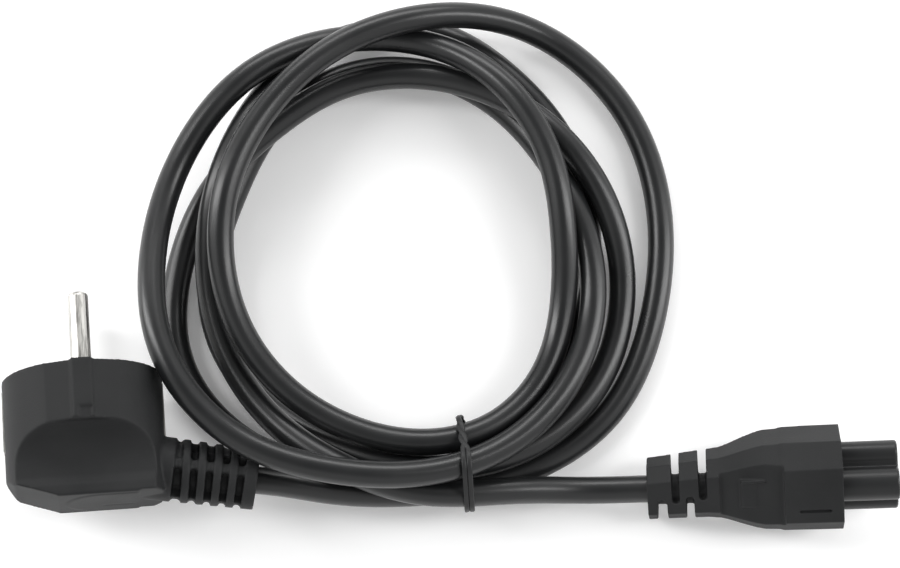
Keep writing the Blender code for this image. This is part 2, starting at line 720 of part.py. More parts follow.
def contact_sleeve(label, at, parts, holder, surface):
    """A short metal tube in its hole, open at both ends."""
    y, z = at
    outer, inner, length = SLEEVE_RADIUS, SLEEVE_BORE_RADIUS, SLEEVE_LENGTH
    profile = [(inner, length), (outer, length), (outer, 0.0), (inner, 0.0), (inner, length)]
    start = NOSE_LENGTH - SLEEVE_RECESS - length
    place = Matrix.Translation((start, y, z)) @ Matrix.Rotation(math.radians(90), 4, "Y")
    return turned(f"contact_sleeve_{label}", profile, place, parts, holder, sides=16, surface=surface)


def main():
    for old in list(bpy.data.objects):
        bpy.data.objects.remove(old)
    parts = new_collection("cloverleaf_power_cord")
    cutters = new_collection("cutters")

    moulding = material("moulded_black", (0.045, 0.048, 0.050), 0.55)
    sheath = material("cord_black", (0.030, 0.033, 0.035), 0.40)
    insert = material("insert_black", (0.040, 0.042, 0.045), 0.35)
    nickel = material("nickel_plate", (0.75, 0.74, 0.71), 0.22, 1.0)
    band = material("tie_black", (0.050, 0.052, 0.055), 0.45)

    plug = frame("plug_frame", PLUG_AT, PLUG_TURN, parts)
    plug_body(parts, cutters, plug, moulding)
    plug_pin("plug_pin_upper", 1, parts, plug, nickel)
    plug_pin("plug_pin_lower", -1, parts, plug, nickel)
    earth_contact("earth_contact_left", -1, parts, plug, nickel)
    earth_contact("earth_contact_right", 1, parts, plug, nickel)

    end = frame("connector_frame", CONNECTOR_AT, CONNECTOR_TURN, parts)
    connector_body(parts, cutters, end, moulding)
    connector_nose(parts, cutters, end, insert)
    for label, at in contact_places().items():
        contact_sleeve(label, at, parts, end, nickel)

    tube("cord", cord_line(CORD_POINTS), CORD_RADIUS, False, parts, sheath)
    twist_tie(parts, band)


main()
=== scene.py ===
import math

import bmesh
import bpy
import numpy as np
from mathutils import Matrix, Vector


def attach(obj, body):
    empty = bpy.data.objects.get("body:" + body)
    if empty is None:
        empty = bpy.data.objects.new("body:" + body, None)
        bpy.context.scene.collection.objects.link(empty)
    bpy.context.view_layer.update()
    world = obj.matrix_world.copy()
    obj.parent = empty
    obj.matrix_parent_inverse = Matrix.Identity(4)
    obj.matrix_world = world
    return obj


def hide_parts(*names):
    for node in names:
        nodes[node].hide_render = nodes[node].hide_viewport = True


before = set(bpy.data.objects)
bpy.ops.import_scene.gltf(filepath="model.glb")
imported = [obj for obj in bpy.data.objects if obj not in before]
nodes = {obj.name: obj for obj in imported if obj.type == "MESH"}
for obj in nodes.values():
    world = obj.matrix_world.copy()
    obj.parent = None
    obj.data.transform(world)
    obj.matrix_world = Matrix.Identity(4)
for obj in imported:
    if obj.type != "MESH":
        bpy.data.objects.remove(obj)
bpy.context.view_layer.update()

CLEARANCE = 0.0003            # between pieces that touch
PAST = 0.002                  # how far a cutter reaches past the solid
THROUGH = 0.02                # half the size of a cutter that passes right through
SUNK = 0.001                  # how far a piece reaches into what carries it

# Camera: above the lead, leaning a little from the near side
CAMERA_AT = (-0.0008, -0.05755, 0.512)
CAMERA_AIM = (-0.0008, 0.03445, 0.0)
CAMERA_LENS = 82.6            # mm, on a sensor 36 mm wide

# Plug: local +Y is the way the pins point, +X the side the cord leaves, Y = 0 the front face
PLUG_AT = (-0.0892, 0.00735, 0.0194)
PLUG_TURN = (-7.5, 9.4, 4.7)
PLUG_RADIUS = 0.0190
PLUG_BACK_RADIUS = 0.0187
PLUG_DEPTH = 0.0297
PLUG_FLATS = ((63.4, 82.7), (97.3, 116.6))     # degrees round the rim, beside each guide rib
PLUG_VOXEL = 0.00036
RIM_STEP = 2.0                # degrees
GRIP_START = 0.0142
GRIP_STEP_HEIGHT = 0.0173
GRIP_BACK_HEIGHT = 0.0094
GRIP_LEDGE_HEIGHT = 0.0101
GRIP_LEDGE_DEPTH = 0.0275
GRIP_LEDGE_SLOPE = 0.002      # length over which the hollow meets the ledge
GRIP_STEEPNESS = 3.2          # the higher, the sooner the hollow falls
GRIP_POINTS = 24
CORNER_START_X = -0.0073
CORNER_MID = (-0.0167, -0.0265)
CORNER_END_Y = -0.0236
CORNER_END_OUTSIDE = 0.0006   # of the back's radius
BACK_STEP_X = 0.0176
BACK_STEP_DEPTH = 0.0006
BACK_RAISED = 0.0003
BACK_PLATE_INSET = 0.0004     # from the slanted corner
BACK_PLATE_END_X = 0.0119
BACK_PLATE_HALF_HEIGHT = 0.0099
BACK_PAD_RAISED = 0.0002      # above the plate
BACK_PAD_MIDDLE_X = 0.0035
BACK_PAD_END_X = 0.0117
BACK_PAD_RADIUS = 0.0084
BACK_GROOVE_END_X = 0.0107
BACK_GROOVE_HEIGHTS = (-0.0030, -0.0023)
BACK_GROOVE_DEPTH = 0.0004
GUIDE_WIDTH = 0.0048
GUIDE_LENGTH = 0.0138
GUIDE_PROUD = 0.0004
GUIDE_END_PROUD = 0.0004      # of the face
GUIDE_THICKNESS = 0.004
GUIDE_POCKET_START = 0.0112
GUIDE_POCKET_DEPTH = 0.0006
GUIDE_POCKET_WALLS = (0.0012, 0.0003)
EARTH_HOLE_RADIUS = 0.0025
EARTH_HOLE_OFFSET = 0.0100
EARTH_HOLE_DEPTH = 0.0150
EARTH_STRIP_WIDTH = 0.0042
EARTH_STRIP_THICKNESS = 0.0009
EARTH_STRIP_START = 0.0024
EARTH_STRIP_LENGTH = 0.0144

# Plug's strain relief, along its own axis
RELIEF_LEAN = -11.0
RELIEF_AXIS_DEPTH = 0.0194
RELIEF_NECK_RADIUS = 0.00765
RELIEF_END_RADIUS = 0.0072
RELIEF_CORE_RADIUS = 0.0046
RELIEF_BAR_SUNK = 0.0007
RELIEF_NECK_START = 0.008
RELIEF_CORE_START = 0.010
RELIEF_NECK_END = 0.0208
RELIEF_STEP = 0.00374         # from window to window
RELIEF_WINDOW = 0.00187
RELIEF_WINDOWS = 5
RELIEF_COLLAR = 0.0030
RELIEF_BAR_WIDTH = 0.0022
RELIEF_ROLL = -3.0
RING_TILT = (4.0, -0.5)       # degrees, of the first and last rings from square to the axis
FIRST_WINDOW_TURNS = (92, 272)                 # degrees round the axis, where it is shallow
FIRST_WINDOW_SPAN = 80
FIRST_WINDOW_RADIUS = 0.0064
FIRST_WINDOW_OVERLAP = 0.0005

# Connector: local +X is the way it plugs in, X = 0 its shoulder, +Z its narrow, chamfered side
CONNECTOR_AT = (0.09347, -0.01638, 0.01446)
CONNECTOR_TURN = (29.4, -7.8, 1.4)
SECTION_HALF_WIDTH = 0.01145
SECTION_BOTTOM = -0.0080
SECTION_TOP = 0.0081
SECTION_SIDE_TOP = 0.0022
SECTION_TOP_HALF_WIDTH = 0.0068
# distance behind the shoulder and share of the full section
CONNECTOR_STATIONS = (
    (0.0, 1.01), (0.0137, 1.002), (0.0141, 1.0), (0.0151, 0.978), (0.0156, 0.975), (0.0186, 0.962),
    (0.0208, 0.918), (0.0235, 0.846), (0.0262, 0.765), (0.0280, 0.714), (0.0293, 0.687), (0.0322, 0.664),
    (0.0466, 0.60),
)
CONNECTOR_VOXEL = 0.00025
CONNECTOR_RELIEF_START = 0.0322
CONNECTOR_RELIEF_LENGTH = 0.0144
RELIEF_DRIFT = -0.0009        # sideways, at the cord's end
CONNECTOR_CORE_RADIUS = 0.0036
CONNECTOR_CORE_START = 0.028
# start, end and the inner end's place across it, then whether it opens to the far side
CONNECTOR_SLOTS = (
    (0.0322, 0.0342, -0.0014, True), (0.0354, 0.0373, -0.0004, False),
    (0.0388, 0.0407, -0.0022, True), (0.0419, 0.0443, -0.0012, False),
)
# the narrow side's tray, as distance along and height, and the lowest and highest corners of what is on it
THUMB_RECESS = ((-0.0138, 0.0069), (-0.0143, 0.0067), (-0.0292, 0.0047))
THUMB_PAD = ((-0.0241, -0.0032, 0.003), (-0.0206, 0.0034, 0.0061))
THUMB_RIB = ((-0.0241, 0.0034, 0.003), (-0.0184, 0.0039, 0.0066))
INDEX_LINE = ((-0.0106, -0.0043, 0.0073), (-0.0028, -0.0036, 0.009))
LOBE_OFFSET = 0.0055
LOBE_HEIGHT = -0.0031
LOBE_RADIUS = 0.0032
CHIN_HEIGHT = 0.0019
CHIN_RADIUS = 0.0040
NOSE_LENGTH = 0.0134
NOSE_SEAT = 0.0040            # how far it reaches in behind the shoulder
NOSE_ROUND = 0.0006
NOSE_VOXEL = 0.00022
CONTACT_HOLE_RADIUS = 0.0016
CONTACT_HOLE_DEPTH = 0.0120
CONTACT_PITCH = 0.0050

# Cord, with the route's points as the solid has them
CORD_RADIUS = 0.0033
CORD_SEEN_POINTS = 900
CORD_INSIDE = 0.0025          # how far its ends reach into the strain reliefs
MILLIMETRE = 0.001
# Where the cord starts at the plug's strain relief, and where it ends at the connector's, in millimetres
ROUTE_START = [(-46.9, -16.3, 16.35), (-39.2, -17.15, 15.3)]
ROUTE_END = [(16.2, -18.25, 10.6), (31.2, -17.95, 6.8), (46.95, -17.7, 8.1)]
# Between them it coils about this middle. For each step round it: how far out the cord is seen to
# lie, as if on the table, and its level in the heap, the highest on top
COIL_MIDDLE = (-13.4, 40.05)
COIL_START = 252              # degrees
COIL_STEP = 24
COIL_TURNS = [
    (60.0, 2.5), (57.5, 1.3), (61.0, 1.0), (65.0, 1.0), (65.0, 1.0), (67.0, 1.0), (69.5, 1.0), (69.5, 3.2),
    (64.5, 5.0), (58.5, 5.0), (52.5, 5.0), (48.5, 5.0), (45.0, 5.0), (43.5, 5.0), (43.0, 5.0), (43.5, 5.0),
    (46.0, 2.7), (48.0, 2.0), (46.0, 2.0), (42.0, 2.3), (42.5, 3.7), (47.0, 4.0), (53.0, 4.0), (58.0, 4.0),
    (60.5, 4.0), (62.5, 4.0), (62.0, 4.0), (62.5, 4.0), (63.5, 4.0), (60.0, 4.0), (55.0, 4.0), (53.5, 4.0),
    (53.5, 4.0), (52.0, 4.0), (49.5, 3.0), (47.0, 2.0), (46.5, 2.0), (48.0, 2.0), (50.0, 2.0), (50.5, 1.8),
    (49.0, 0.8), (48.5, 0.5), (50.0, 0.3), (50.0, 0.3), (49.0, 0.3), (50.0, 1.1), (52.0, 1.8), (56.0, 2.0),
    (58.5, 2.0), (57.0, 1.6), (54.5, 2.3), (52.0, 3.0), (50.0, 3.0), (49.0, 3.0), (48.5, 3.0), (48.0, 1.7),
    (51.5, 1.0), (55.0, 0.9), (60.5, 0.8), (59.0, 0.6), (56.0, 0.5), (51.0, 0.7), (51.0, 0.5), (49.5, 0.5),
    (47.5, 0.5), (48.0, 0.8), (51.5, 1.0), (55.5, 1.0), (61.0, 1.0), (60.5, 1.0), (54.0, 2.0), (50.0, 2.0),
    (48.5, 2.1), (49.0, 2.1), (50.5, 2.1), (53.5, 3.0), (58.5, 2.7),
]
# Degrees, on the same count, between which other turns hide the cord, so that it is only led loosely
HIDDEN = [(1222, 1370), (1586, 1617), (1652, 1800)]
# Where it lies over the plug and over the strain relief: from, to and the height that it keeps
OVER_PLUG = [(915, 936, 26.0), (944, 962, 24.6)]
OVER_TIE = (284, 296, 4.8)    # on every turn
# The eye that sees it so, in millimetres
EYE_FOOT = (-0.8, -57.55)
EYE_HEIGHT = 512.0
# How the cord comes to rest, in millimetres, with forces on one common scale
REST_SAMPLES = 640
REST_ROUNDS = 480
REST_APART = 7.05             # between the middles of two turns that touch
REST_FLOOR = 3.45
LEVEL_HEIGHT = 5.0            # where a level starts out
STIFFNESS = 350.0
TIGHT_BEND = 30.0             # radius at which the cord grows much stiffer
STIFFEST = 30                 # how many times stiffer it can grow
SWAPPED_WITHIN = 4.5          # two turns this close in plan have to lie in the order of their levels
PULL = 2.4                    # towards where it is seen
PULL_HIDDEN = 0.1
PUSH = 60.0                   # of turn against turn, and of the floor
WEIGHT = 0.0225
INERTIA = 20.0
HELD = 10000.0                # at the cord's two ends

# Twist tie: two wires drawn tight round the strands, twisted together at the far side
TIE_AT = (0.0031, -0.01215, 0.0)
TIE_TURN = 4.5                # degrees about Z, of the way the strands run through it
TIE_HALF_WIDTH = 0.0009
TIE_EDGE_RADIUS = 0.00035
TIE_CLEARANCE = 0.00055
TIE_LOOKS = 1500              # places along the cord where the tie looks for a strand
TIE_REACH = 0.03
TIE_SIDE_STEP = 3             # degrees
TIE_SEEN_POINTS = 144
TIE_STRAND_OFFSET = 0.00062
TIE_STRAND_RADIUS = 0.00033
TIE_STRAND_HALF_WIDTH = 0.00028
TIE_TWIST_LENGTH = 0.0085
TIE_TWISTS = 1.5
TIE_TWIST_START = 0.3         # share of the loop's height
TIE_TWIST_RISE = 0.4
TIE_TWIST_RADIUS = 0.0003
TIE_LEAN = 0.0010

# Materials: how fine the plastics' patches and grain are, and the metals' streaks
PATCH_SCALE = 60.0
GRAIN_SCALE = 2600.0
STREAK_SCALE = 900.0
STREAK_STRETCH = (1.0, 0.03, 1.0)
STREAK_DEPTH = 0.000006

# Studio: each softbox's place, its width and depth, and its power
LIGHT_AIM = (0.0, 0.03, 0.0)
SOFTBOXES = {
    "left_softbox": ((-0.80, 0.25, 0.55), (0.25, 0.9), 6.0),
    "right_softbox": ((0.80, 0.10, 0.55), (0.25, 0.9), 5.0),
    "far_softbox": ((0.0, 0.95, 0.60), (1.0, 0.3), 5.0),
}
# brightness of the tent from the horizon, 0, to straight up, 1
TENT = ((0.0, 1.0), (0.72, 1.0), (0.97, 0.22))
TENT_STRENGTH = 0.85
TABLE_HALF_SIZE = 3.0

route = []                    # the cord's points at rest, worked out once


def add_object(name, data, surface=None):
    made = bpy.data.objects.new(name, data)
    bpy.context.scene.collection.objects.link(made)
    if surface:
        data.materials.append(surface)
    return made


def mesh_object(name, shape, surface=None):
    """A new object from a bmesh, which is then freed."""
    data = bpy.data.meshes.new(name)
    shape.to_mesh(data)
    shape.free()
    return add_object(name, data, surface)


def aim(thing, place, target):
    thing.location = place
    way = Vector(target) - Vector(place)
    thing.rotation_euler = way.to_track_quat("-Z", "Y").to_euler()


def camera():
    lens = bpy.data.cameras.new("camera")
    lens.sensor_width = 36.0
    lens.lens = CAMERA_LENS
    lens.clip_start = 0.01
    lens.clip_end = 20.0
    made = add_object("camera", lens)
    aim(made, CAMERA_AT, CAMERA_AIM)
    bpy.context.scene.camera = made


# Materials


def fill_ramp(ramp, stops):
    """Gives a colour ramp its stops, as (position, colour)."""
    elements = ramp.color_ramp.elements
    while len(elements) < len(stops):
        elements.new(0.5)
    for element, (at, colour) in zip(elements, stops):
        element.position = at
        element.color = (*colour, 1.0)


class Graph:
    """Short calls for building a material's nodes."""

    def __init__(self, name):
        self.material = bpy.data.materials.new(name)
        self.material.use_nodes = True
        self.tree = self.material.node_tree
        self.shader = self.tree.nodes["Principled BSDF"]

    def node(self, kind):
        return self.tree.nodes.new(kind)

    def link(self, output, target):
        self.tree.links.new(output, target)

    def set(self, **values):
        for key, value in values.items():
            self.shader.inputs[key.replace("_", " ")].default_value = value

    def noise(self, scale, detail, roughness=0.5, stretch=None):
        made = self.node("ShaderNodeTexNoise")
        made.inputs["Scale"].default_value = scale
        made.inputs["Detail"].default_value = detail
        made.inputs["Roughness"].default_value = roughness
        place = self.node("ShaderNodeTexCoord").outputs["Object"]
        if stretch:
            mapping = self.node("ShaderNodeMapping")
            mapping.inputs["Scale"].default_value = stretch
            self.link(place, mapping.inputs["Vector"])
            place = mapping.outputs["Vector"]
        self.link(place, made.inputs["Vector"])
        return made.outputs["Fac"]

    def ramp(self, factor, stops):
        made = self.node("ShaderNodeValToRGB")
        fill_ramp(made, stops)
        self.link(factor, made.inputs["Fac"])
        return made.outputs["Color"]

    def spread(self, factor, low, high):
        """The factor's middle range as a number from low to high."""
        made = self.node("ShaderNodeMapRange")
        made.inputs["From Min"].default_value = 0.3
        made.inputs["From Max"].default_value = 0.7
        made.inputs["To Min"].default_value = low
        made.inputs["To Max"].default_value = high
        self.link(factor, made.inputs["Value"])
        return made.outputs["Result"]

    def bump(self, height, distance):
        made = self.node("ShaderNodeBump")
        made.inputs["Distance"].default_value = distance
        self.link(height, made.inputs["Height"])
        return made.outputs["Normal"]


def plastic(name, dark, light, shine, grain, gloss=0.28):
    """A dark moulded or extruded plastic: patchy colour and gloss over a fine grain."""
    graph = Graph(name)
    patches = graph.noise(PATCH_SCALE, 4.0)
    fine = graph.noise(GRAIN_SCALE, 2.0)
    graph.link(graph.ramp(patches, [(0.3, dark), (0.7, light)]), graph.shader.inputs["Base Color"])
    graph.link(graph.spread(patches, shine[0], shine[1]), graph.shader.inputs["Roughness"])
    graph.link(graph.bump(fine, grain), graph.shader.inputs["Normal"])
    graph.set(Specular_IOR_Level=gloss)
    return graph.material


def metal(name, colour, shine):
    """A plated or bare metal, drawn lengthwise into fine streaks."""
    graph = Graph(name)
    graph.set(Metallic=1.0)
    worn = graph.noise(STREAK_SCALE, 5.0, 0.6, STREAK_STRETCH)
    dull = [0.55 * part for part in colour]
    graph.link(graph.ramp(worn, [(0.40, dull), (0.52, colour)]), graph.shader.inputs["Base Color"])
    graph.link(graph.spread(worn, shine[0], shine[1]), graph.shader.inputs["Roughness"])
    graph.link(graph.bump(worn, STREAK_DEPTH), graph.shader.inputs["Normal"])
    return graph.material


# Solids


def loft(name, rings, place=None):
    """A closed solid through rings that have as many points each."""
    shape = bmesh.new()
    rows = [[shape.verts.new(point) for point in ring] for ring in rings]
    for near, far in zip(rows, rows[1:]):
        for i in range(len(near)):
            j = (i + 1) % len(near)
            shape.faces.new((near[i], near[j], far[j], far[i]))
    shape.faces.new(rows[0])
    shape.faces.new(rows[-1])
    if place:
        bmesh.ops.transform(shape, matrix=place, verts=shape.verts)
    bmesh.ops.recalc_face_normals(shape, faces=shape.faces)
    return mesh_object(name, shape)


def prism(name, outline, low, high, place=None):
    """A flat outline in local XY, raised along local Z from low to high."""
    return loft(name, [[(x, y, z) for x, y in outline] for z in (low, high)], place)


def box(name, low, high):
    outline = [(low[0], low[1]), (high[0], low[1]), (high[0], high[1]), (low[0], high[1])]
    return prism(name, outline, low[2], high[2])


def turned(name, profile, place=None, sides=96):
    """A solid of revolution about local Z, from (radius, height) pairs."""
    turns = [2 * math.pi * i / sides for i in range(sides)]
    rings = [[(r * math.cos(t), r * math.sin(t), h) for t in turns] for r, h in profile]
    return loft(name, rings, place)


def arc(centre, radius, start, end, steps):
    turns = [math.radians(start + (end - start) * i / steps) for i in range(steps + 1)]
    return [(centre[0] + radius * math.cos(t), centre[1] + radius * math.sin(t)) for t in turns]


# Outline X along local Y, outline Y along local Z, thickness along local X
UPRIGHT = Matrix(((0, 0, 1, 0), (1, 0, 0, 0), (0, 1, 0, 0), (0, 0, 0, 1)))
FORWARD = Matrix.Rotation(math.radians(-90), 4, "X")      # local Z to +Y
SIDEWAYS = Matrix.Rotation(math.radians(90), 4, "Y")      # local Z to +X


def evaluated_mesh(thing):
    """A new mesh of the object as its modifiers make it."""
    bpy.context.view_layer.update()
    graph = bpy.context.evaluated_depsgraph_get()
    return bpy.data.meshes.new_from_object(thing.evaluated_get(graph))


def cut(target, tools):
    """Takes the tools out of the target, and removes them."""
    for tool in tools:
        change = target.modifiers.new("Cut " + tool.name, "BOOLEAN")
        change.operation = "DIFFERENCE"
        change.object = tool
        change.solver = "EXACT"
    shape = bmesh.new()
    shape.from_mesh(evaluated_mesh(target))
    target.modifiers.clear()
    shape.to_mesh(target.data)
    shape.free()
    for tool in tools:
        bpy.data.objects.remove(tool)


def moulded(name, pieces, voxel, softness, place, surface):
    """One skin round the pieces, its edges slightly round, at its place."""
    shape = bmesh.new()
    for piece in pieces:
        shape.from_mesh(piece.data)
        bpy.data.objects.remove(piece)
    made = mesh_object(name, shape, surface)
    skin = made.modifiers.new("Skin", "REMESH")
    skin.mode = "VOXEL"
    skin.voxel_size = voxel
    soft = made.modifiers.new("Soft edges", "SMOOTH")
    soft.factor = 0.5
    soft.iterations = softness
    solid = evaluated_mesh(made)
    made.modifiers.clear()
    solid.transform(place)
    solid.shade_smooth()
    made.data = solid
    return made


def placed(at, turn):
    """The matrix of a piece turned about X, then Y, then Z, in degrees, and moved to its place."""
    turns = [Matrix.Rotation(math.radians(angle), 4, axis) for angle, axis in zip(turn, "XYZ")]
    return Matrix.Translation(at) @ turns[2] @ turns[1] @ turns[0]


def stands_for(made, node):
    """Lets the piece take a solid's place."""
    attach(made, "root")
    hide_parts(node)
    return made


# Plug


def plug_rim():
    """The plug's round outline, with a flat on either side of each guide rib."""
    outline = []
    for degrees in np.arange(0.0, 360.0, RIM_STEP):
        if not any(start < degrees % 180 < end for start, end in PLUG_FLATS):
            outline.append((math.cos(math.radians(degrees)), math.sin(math.radians(degrees))))
    for start, end in PLUG_FLATS:
        for turn in (start, end, start + 180, end + 180):
            outline.append((math.cos(math.radians(turn)), math.sin(math.radians(turn))))
    return sorted(set(outline), key=lambda point: math.atan2(point[1], point[0]))


def grip(side):
    """The scoop above or below the grip: a step, a hollow that runs back, and a ledge."""
    reach = PLUG_RADIUS + 2 * PAST
    behind = -PLUG_DEPTH - 3 * PAST
    fall = GRIP_STEP_HEIGHT - GRIP_BACK_HEIGHT
    outline = [(-GRIP_START, reach), (-GRIP_START, GRIP_STEP_HEIGHT)]
    hollow = GRIP_LEDGE_DEPTH - GRIP_START - GRIP_LEDGE_SLOPE
    for step in range(1, GRIP_POINTS + 1):
        share = step / GRIP_POINTS
        drop = 1 - (1 - share) ** GRIP_STEEPNESS
        outline.append((-GRIP_START - hollow * share, GRIP_STEP_HEIGHT - fall * drop))
    outline += [(-GRIP_LEDGE_DEPTH, GRIP_LEDGE_HEIGHT), (behind, GRIP_LEDGE_HEIGHT), (behind, reach)]
    outline = [(along, side * height) for along, height in outline]
    return prism("grip", outline, -PLUG_RADIUS - PAST, PLUG_RADIUS + PAST, UPRIGHT)


def back_corner():
    """What the slanted corner takes away, on the side away from the cord."""
    outside = -PLUG_RADIUS - 3 * PAST
    behind = -PLUG_DEPTH - 3 * PAST
    outline = [
        (outside, CORNER_END_Y), (-PLUG_BACK_RADIUS - CORNER_END_OUTSIDE, CORNER_END_Y), CORNER_MID,
        (CORNER_START_X, -PLUG_DEPTH), (CORNER_START_X, behind), (outside, behind),
    ]
    return prism("back_corner", outline, -PLUG_RADIUS, PLUG_RADIUS)


def back_step():
    """The mould's small step at the back, beside the cord."""
    low = (BACK_STEP_X, -PLUG_DEPTH - PAST, -THROUGH)
    high = (1.5 * THROUGH, -PLUG_DEPTH + BACK_STEP_DEPTH, THROUGH)
    return box("back_step", low, high)


def back_plate():
    """The mould's raised back, with a round-ended pad and a short groove on it."""
    raised = -PLUG_DEPTH - BACK_RAISED
    low = (CORNER_START_X + BACK_PLATE_INSET, raised, -BACK_PLATE_HALF_HEIGHT)
    high = (BACK_PLATE_END_X, -PLUG_DEPTH + SUNK, BACK_PLATE_HALF_HEIGHT)
    plate = box("back_plate", low, high)
    outline = arc((BACK_PAD_MIDDLE_X, 0.0), BACK_PAD_RADIUS, 90, 270, 24)
    outline += [(BACK_PAD_END_X, -BACK_PAD_RADIUS), (BACK_PAD_END_X, BACK_PAD_RADIUS)]
    stand = Matrix.Translation((0, raised, 0)) @ Matrix.Rotation(math.radians(90), 4, "X")
    pad = prism("back_pad", outline, -SUNK, BACK_PAD_RAISED, stand)
    low = (BACK_PAD_MIDDLE_X, raised - PAST, BACK_GROOVE_HEIGHTS[0])
    high = (BACK_GROOVE_END_X, raised + BACK_GROOVE_DEPTH, BACK_GROOVE_HEIGHTS[1])
    for piece in (plate, pad):
        cut(piece, [box("back_groove", low, high)])
    return [plate, pad]


def guide_rib(side):
    """A flat rib on the rim, its end cut down to a shallow pocket."""
    top = PLUG_RADIUS + GUIDE_PROUD
    half = GUIDE_WIDTH / 2
    low, high = sorted((side * (top - GUIDE_THICKNESS), side * top))
    rib = box("guide_rib", (-half, -GUIDE_LENGTH, low), (half, GUIDE_END_PROUD, high))
    low, high = sorted((side * (top - GUIDE_POCKET_DEPTH), side * (top + SUNK)))
    left, right = GUIDE_POCKET_WALLS
    near = (-half + left, -GUIDE_LENGTH - SUNK, low)
    far = (half - right, -GUIDE_POCKET_START, high)
    cut(rib, [box("pocket", near, far)])
    return rib


def earth_pockets():
    """The recesses for the earth strips, and the hole for the earth pin."""
    tools = []
    half = EARTH_STRIP_WIDTH / 2 + CLEARANCE
    start = -EARTH_STRIP_START - EARTH_STRIP_LENGTH - CLEARANCE
    end = -EARTH_STRIP_START + CLEARANCE
    floor = PLUG_RADIUS - EARTH_STRIP_THICKNESS - CLEARANCE
    for side in (1, -1):
        near, far = sorted((side * floor, side * (PLUG_RADIUS + PAST)))
        tools.append(box("earth_recess", (near, start, -half), (far, end, half)))
    hole = [(EARTH_HOLE_RADIUS, -EARTH_HOLE_DEPTH), (EARTH_HOLE_RADIUS, PAST)]
    tools.append(turned("earth_hole", hole, Matrix.Translation((-EARTH_HOLE_OFFSET, 0, 0)) @ FORWARD, 48))
    return tools


def relief_radius(along):
    """The rings' radius, which narrows from the neck to the end."""
    share = (along - RELIEF_NECK_END) / (relief_length() - RELIEF_NECK_END)
    return RELIEF_NECK_RADIUS + (RELIEF_END_RADIUS - RELIEF_NECK_RADIUS) * max(0.0, share)


def relief_length():
    return RELIEF_NECK_END + (RELIEF_WINDOWS - 1) * RELIEF_STEP + RELIEF_WINDOW + RELIEF_COLLAR


def plug_relief():
    """Neck, rings, collar, core and the four bars that join them."""
    lean = Matrix.Translation((0, -RELIEF_AXIS_DEPTH, 0)) @ Matrix.Rotation(math.radians(RELIEF_LEAN), 4, "Z")
    axis = lean @ SIDEWAYS
    end = relief_length()
    neck = [(RELIEF_NECK_RADIUS, RELIEF_NECK_START), (RELIEF_NECK_RADIUS, RELIEF_NECK_END)]
    core = [(RELIEF_CORE_RADIUS, RELIEF_CORE_START), (RELIEF_CORE_RADIUS, end - SUNK)]
    pieces = [turned("relief_neck", neck, axis), turned("relief_core", core, axis)]
    for number in range(RELIEF_WINDOWS):
        start = RELIEF_NECK_END + number * RELIEF_STEP + RELIEF_WINDOW
        width = RELIEF_COLLAR if number == RELIEF_WINDOWS - 1 else RELIEF_STEP - RELIEF_WINDOW
        middle = start + width / 2
        tilt = np.interp(number, (0, RELIEF_WINDOWS - 1), RING_TILT)
        tilted = Matrix.Rotation(math.radians(tilt), 4, "Z")
        stand = lean @ Matrix.Translation((middle, 0, 0)) @ tilted @ SIDEWAYS
        profile = [(relief_radius(middle + x), x) for x in (-width / 2, width / 2)]
        pieces.append(turned("relief_ring", profile, stand))
    start = RELIEF_NECK_END - SUNK
    for turn in (RELIEF_ROLL, RELIEF_ROLL + 90):
        wide = relief_radius(start) - RELIEF_BAR_SUNK
        narrow = relief_radius(end) - RELIEF_BAR_SUNK
        outline = [(wide, start), (narrow, end - SUNK), (-narrow, end - SUNK), (-wide, start)]
        stand = axis @ Matrix.Rotation(math.radians(turn), 4, "Z") @ Matrix.Rotation(math.radians(90), 4, "X")
        pieces.append(prism("relief_bar", outline, -RELIEF_BAR_WIDTH / 2, RELIEF_BAR_WIDTH / 2, stand))
    window_end = RELIEF_NECK_END + RELIEF_WINDOW + FIRST_WINDOW_OVERLAP
    for turn in FIRST_WINDOW_TURNS:
        block = [(0.0, 0.0)]
        block += arc((0.0, 0.0), FIRST_WINDOW_RADIUS, turn, turn + FIRST_WINDOW_SPAN, 12)
        pieces.append(prism("first_window", block, start, window_end, axis))
    return pieces


def plug(surface):
    rim = plug_rim()
    rings = []
    for radius, depth in ((PLUG_RADIUS, 0.0), (PLUG_BACK_RADIUS, PLUG_DEPTH)):
        rings.append([(radius * x, -depth, radius * z) for x, z in rim])
    body = loft("plug_core", rings)
    cut(body, [grip(1), grip(-1), back_corner(), back_step()] + earth_pockets())
    pieces = [body, guide_rib(1), guide_rib(-1)] + back_plate() + plug_relief()
    made = moulded("plug_shell", pieces, PLUG_VOXEL, 2, placed(PLUG_AT, PLUG_TURN), surface)
    stands_for(made, "plug_body")


# Connector


def connector_section(share, steps):
    """The chamfered section as evenly cut sides, so that its edges can turn soft."""
    corners = [
        (-SECTION_HALF_WIDTH, SECTION_BOTTOM), (SECTION_HALF_WIDTH, SECTION_BOTTOM),
        (SECTION_HALF_WIDTH, SECTION_SIDE_TOP), (SECTION_TOP_HALF_WIDTH, SECTION_TOP),
        (-SECTION_TOP_HALF_WIDTH, SECTION_TOP), (-SECTION_HALF_WIDTH, SECTION_SIDE_TOP),
    ]
    outline = []
    for (y, z), (next_y, next_z) in zip(corners, corners[1:] + corners[:1]):
        for i in range(steps):
            outline.append((y + (next_y - y) * i / steps, z + (next_z - z) * i / steps))
    return [(y * share, z * share) for y, z in outline]


def slot(start, end, inner, far_side):
    """A cut across the relief with a round inner end."""
    radius = (end - start) / 2
    way = 1 if far_side else -1
    middle = -(start + end) / 2
    turn = 180 if far_side else 0
    outline = arc((middle, inner + way * radius), radius, turn, turn + 180, 12)
    outline += [(outline[-1][0], way * THROUGH), (outline[0][0], way * THROUGH)]
    return prism("slot", outline, -THROUGH, THROUGH)


